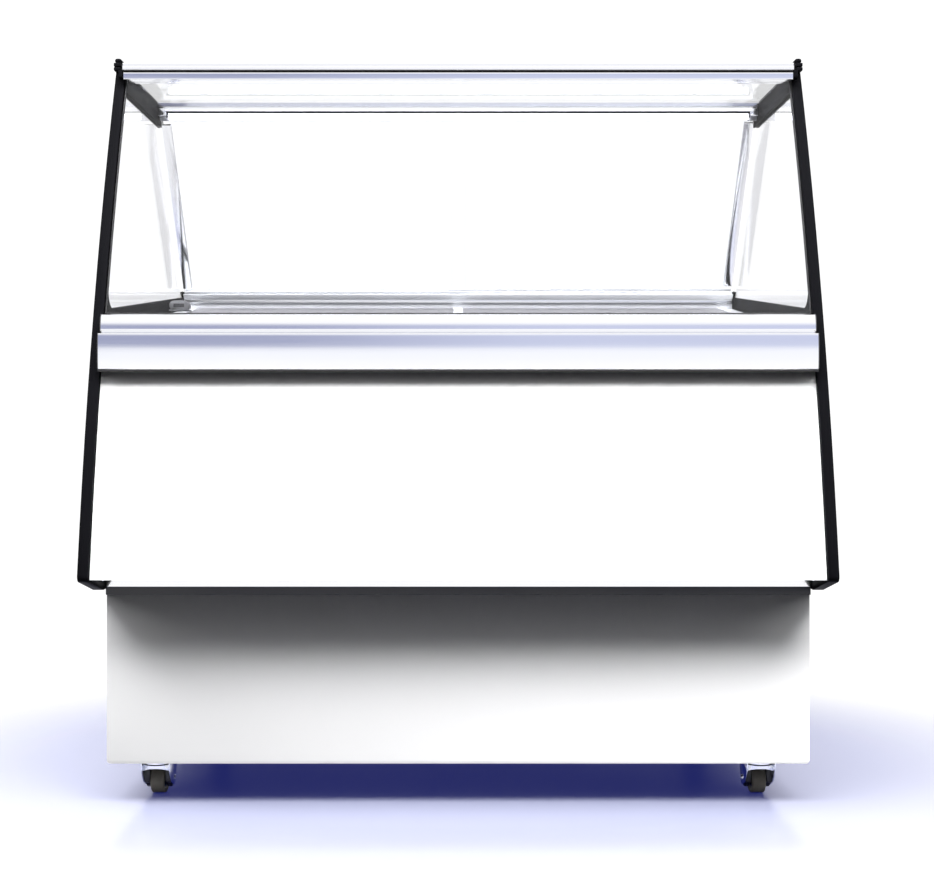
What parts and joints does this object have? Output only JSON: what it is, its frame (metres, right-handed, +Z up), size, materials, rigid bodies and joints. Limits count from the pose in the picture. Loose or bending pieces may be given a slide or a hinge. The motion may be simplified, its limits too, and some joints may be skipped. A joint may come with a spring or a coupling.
{
  "type": "refrigerated deli case",
  "caption": "Refrigerated deli counter: curved lift-up front glass, side glasses, rear sliding doors, sloping display deck, white plinth with cooling unit, swivel casters with front brakes.",
  "frame": {"origin": "on the floor, at the middle of the case's footprint", "axes": "+Z up, +X to the shopper's right, +Y from the shopper's side to the serving side"},
  "size_m": [1.22, 0.87, 1.29],
  "materials": {
    "frame_black": "satin black powder coat",
    "panel_white": "white powder coat, slight texture",
    "end_white": "white laminated panel",
    "steel_black": "black stove enamel",
    "band_dark": "dark extruded trim",
    "grille_paint": "pale grey powder coat",
    "foam": "rigid foam",
    "liner_white": "white enamel",
    "side_glass": "clear pane",
    "clear_glass": "clear toughened glass",
    "profile_aluminium": "satin anodised extrusion",
    "steel_brushed": "brushed stainless sheet",
    "deck_grey": "dark grey coated sheet",
    "led_trim": "satin",
    "led_light": "opal diffuser",
    "thermometer_grey": "satin",
    "coil_fins": "thin fins",
    "drain_plastic": "pipe grey",
    "shroud_metal": "zinc coated sheet",
    "copper_pipe": "copper tube",
    "control_plastic": "fine texture",
    "gland_black": "nylon",
    "zinc": "bright zinc plate",
    "seal_rubber": "matt",
    "fan_black": "moulded",
    "switch_red": "moulded",
    "switch_black": "moulded",
    "button_grey": "moulded",
    "tread_grey": "worn grey tread"
  },
  "bodies": {
    "case": {"side_frames": "frame_black", "hinge_brackets": "frame_black", "door_tracks": "frame_black", "end_panels": "end_white", "front_panel": "panel_white", "plinth_panel": "panel_white", "rear_panel": "panel_white", "base_frame": "steel_black", "compressor": "steel_black", "plinth_band": "band_dark", "rear_grille": "grille_paint", "insulation": "foam", "well_liner": "liner_white", "deck_rail": "liner_white", "fan_panel": "liner_white", "side_glasses": "side_glass", "roof_glass": "clear_glass", "bumper_upper": "profile_aluminium", "bumper_lower": "profile_aluminium", "roof_bar": "profile_aluminium", "rear_header": "profile_aluminium", "worktop": "steel_brushed", "rear_sill": "steel_brushed", "deck_pans": "deck_grey", "led_housing": "led_trim", "led_diffuser": "led_light", "thermometer": "thermometer_grey", "evaporator_coil": "coil_fins", "condenser_coil": "coil_fins", "drain_pipe": "drain_plastic", "fan_shroud": "shroud_metal", "refrigerant_lines": "copper_pipe", "control_panel": "control_plastic", "cord_gland": "gland_black", "screws": "zinc", "caster_plates": "zinc"},
    "front_glass_leaf": {"front_glass": "clear_glass", "front_glass_clamp": "profile_aluminium", "front_glass_seal": "seal_rubber"},
    "door_left": {"door_left": "clear_glass", "grip_left": "profile_aluminium"},
    "door_right": {"door_right": "clear_glass", "grip_right": "profile_aluminium"},
    "condenser_fan": {"condenser_fan": "fan_black"},
    "evaporator_fan": {"evaporator_fan": "fan_black"},
    "power_switch": {"power_switch": "switch_red"},
    "light_switch": {"light_switch": "switch_black"},
    "button_set": {"button_set": "button_grey"},
    "button_up": {"button_up": "button_grey"},
    "button_down": {"button_down": "button_grey"},
    "brake_left": {"brake_left": "switch_black"},
    "brake_right": {"brake_right": "switch_black"},
    "fork_front_left": {"fork_front_left": "zinc"},
    "wheel_front_left": {"wheel_front_left": "tread_grey"},
    "fork_front_right": {"fork_front_right": "zinc"},
    "wheel_front_right": {"wheel_front_right": "tread_grey"},
    "fork_rear_left": {"fork_rear_left": "zinc"},
    "wheel_rear_left": {"wheel_rear_left": "tread_grey"},
    "fork_rear_right": {"fork_rear_right": "zinc"},
    "wheel_rear_right": {"wheel_rear_right": "tread_grey"}
  },
  "joints": [
    {"name": "front_glass_lift", "type": "hinge", "parent": "case", "child": "front_glass_leaf", "pos_m": [0, -0.21364, 1.257], "axis": [-1, 0, 0], "range_deg": [0, 75]},
    {"name": "door_left_slide", "type": "slide", "parent": "case", "child": "door_left", "axis": [1, 0, 0], "range_m": [0, 0.55]},
    {"name": "door_right_slide", "type": "slide", "parent": "case", "child": "door_right", "axis": [-1, 0, 0], "range_m": [0, 0.55]},
    {"name": "swivel_front_left", "type": "hinge", "parent": "case", "child": "fork_front_left", "pos_m": [-0.52, -0.263, 0.06], "axis": [0, 0, 1], "continuous": true},
    {"name": "roll_front_left", "type": "hinge", "parent": "fork_front_left", "child": "wheel_front_left", "pos_m": [-0.52, -0.245, 0.025], "axis": [1, 0, 0], "continuous": true},
    {"name": "swivel_front_right", "type": "hinge", "parent": "case", "child": "fork_front_right", "pos_m": [0.52, -0.263, 0.06], "axis": [0, 0, 1], "continuous": true},
    {"name": "roll_front_right", "type": "hinge", "parent": "fork_front_right", "child": "wheel_front_right", "pos_m": [0.52, -0.245, 0.025], "axis": [1, 0, 0], "continuous": true},
    {"name": "swivel_rear_left", "type": "hinge", "parent": "case", "child": "fork_rear_left", "pos_m": [-0.52, 0.347, 0.06], "axis": [0, 0, 1], "continuous": true},
    {"name": "roll_rear_left", "type": "hinge", "parent": "fork_rear_left", "child": "wheel_rear_left", "pos_m": [-0.52, 0.365, 0.025], "axis": [1, 0, 0], "continuous": true},
    {"name": "swivel_rear_right", "type": "hinge", "parent": "case", "child": "fork_rear_right", "pos_m": [0.52, 0.347, 0.06], "axis": [0, 0, 1], "continuous": true},
    {"name": "roll_rear_right", "type": "hinge", "parent": "fork_rear_right", "child": "wheel_rear_right", "pos_m": [0.52, 0.365, 0.025], "axis": [1, 0, 0], "continuous": true},
    {"name": "brake_left_press", "type": "hinge", "parent": "fork_front_left", "child": "brake_left", "pos_m": [-0.52, -0.229, 0.052], "axis": [-1, 0, 0], "range_deg": [0, 25]},
    {"name": "brake_right_press", "type": "hinge", "parent": "fork_front_right", "child": "brake_right", "pos_m": [0.52, -0.229, 0.052], "axis": [-1, 0, 0], "range_deg": [0, 25]},
    {"name": "condenser_fan_spin", "type": "hinge", "parent": "case", "child": "condenser_fan", "pos_m": [-0.27, 0.299, 0.22], "axis": [0, 1, 0], "continuous": true},
    {"name": "evaporator_fan_spin", "type": "hinge", "parent": "case", "child": "evaporator_fan", "pos_m": [0, 0.04, 0.56], "axis": [0, 1, 0], "continuous": true},
    {"name": "power_switch_rock", "type": "hinge", "parent": "case", "child": "power_switch", "pos_m": [0.357, 0.413, 0.827], "axis": [1, 0, 0], "range_deg": [0, 16]},
    {"name": "light_switch_rock", "type": "hinge", "parent": "case", "child": "light_switch", "pos_m": [0.385, 0.413, 0.827], "axis": [1, 0, 0], "range_deg": [0, 16]},
    {"name": "button_set_push", "type": "slide", "parent": "case", "child": "button_set", "axis": [0, -1, 0], "range_m": [0, 0.0008], "stiffness_N_per_m": 300},
    {"name": "button_up_push", "type": "slide", "parent": "case", "child": "button_up", "axis": [0, -1, 0], "range_m": [0, 0.0008], "stiffness_N_per_m": 300},
    {"name": "button_down_push", "type": "slide", "parent": "case", "child": "button_down", "axis": [0, -1, 0], "range_m": [0, 0.0008], "stiffness_N_per_m": 300}
  ]
}
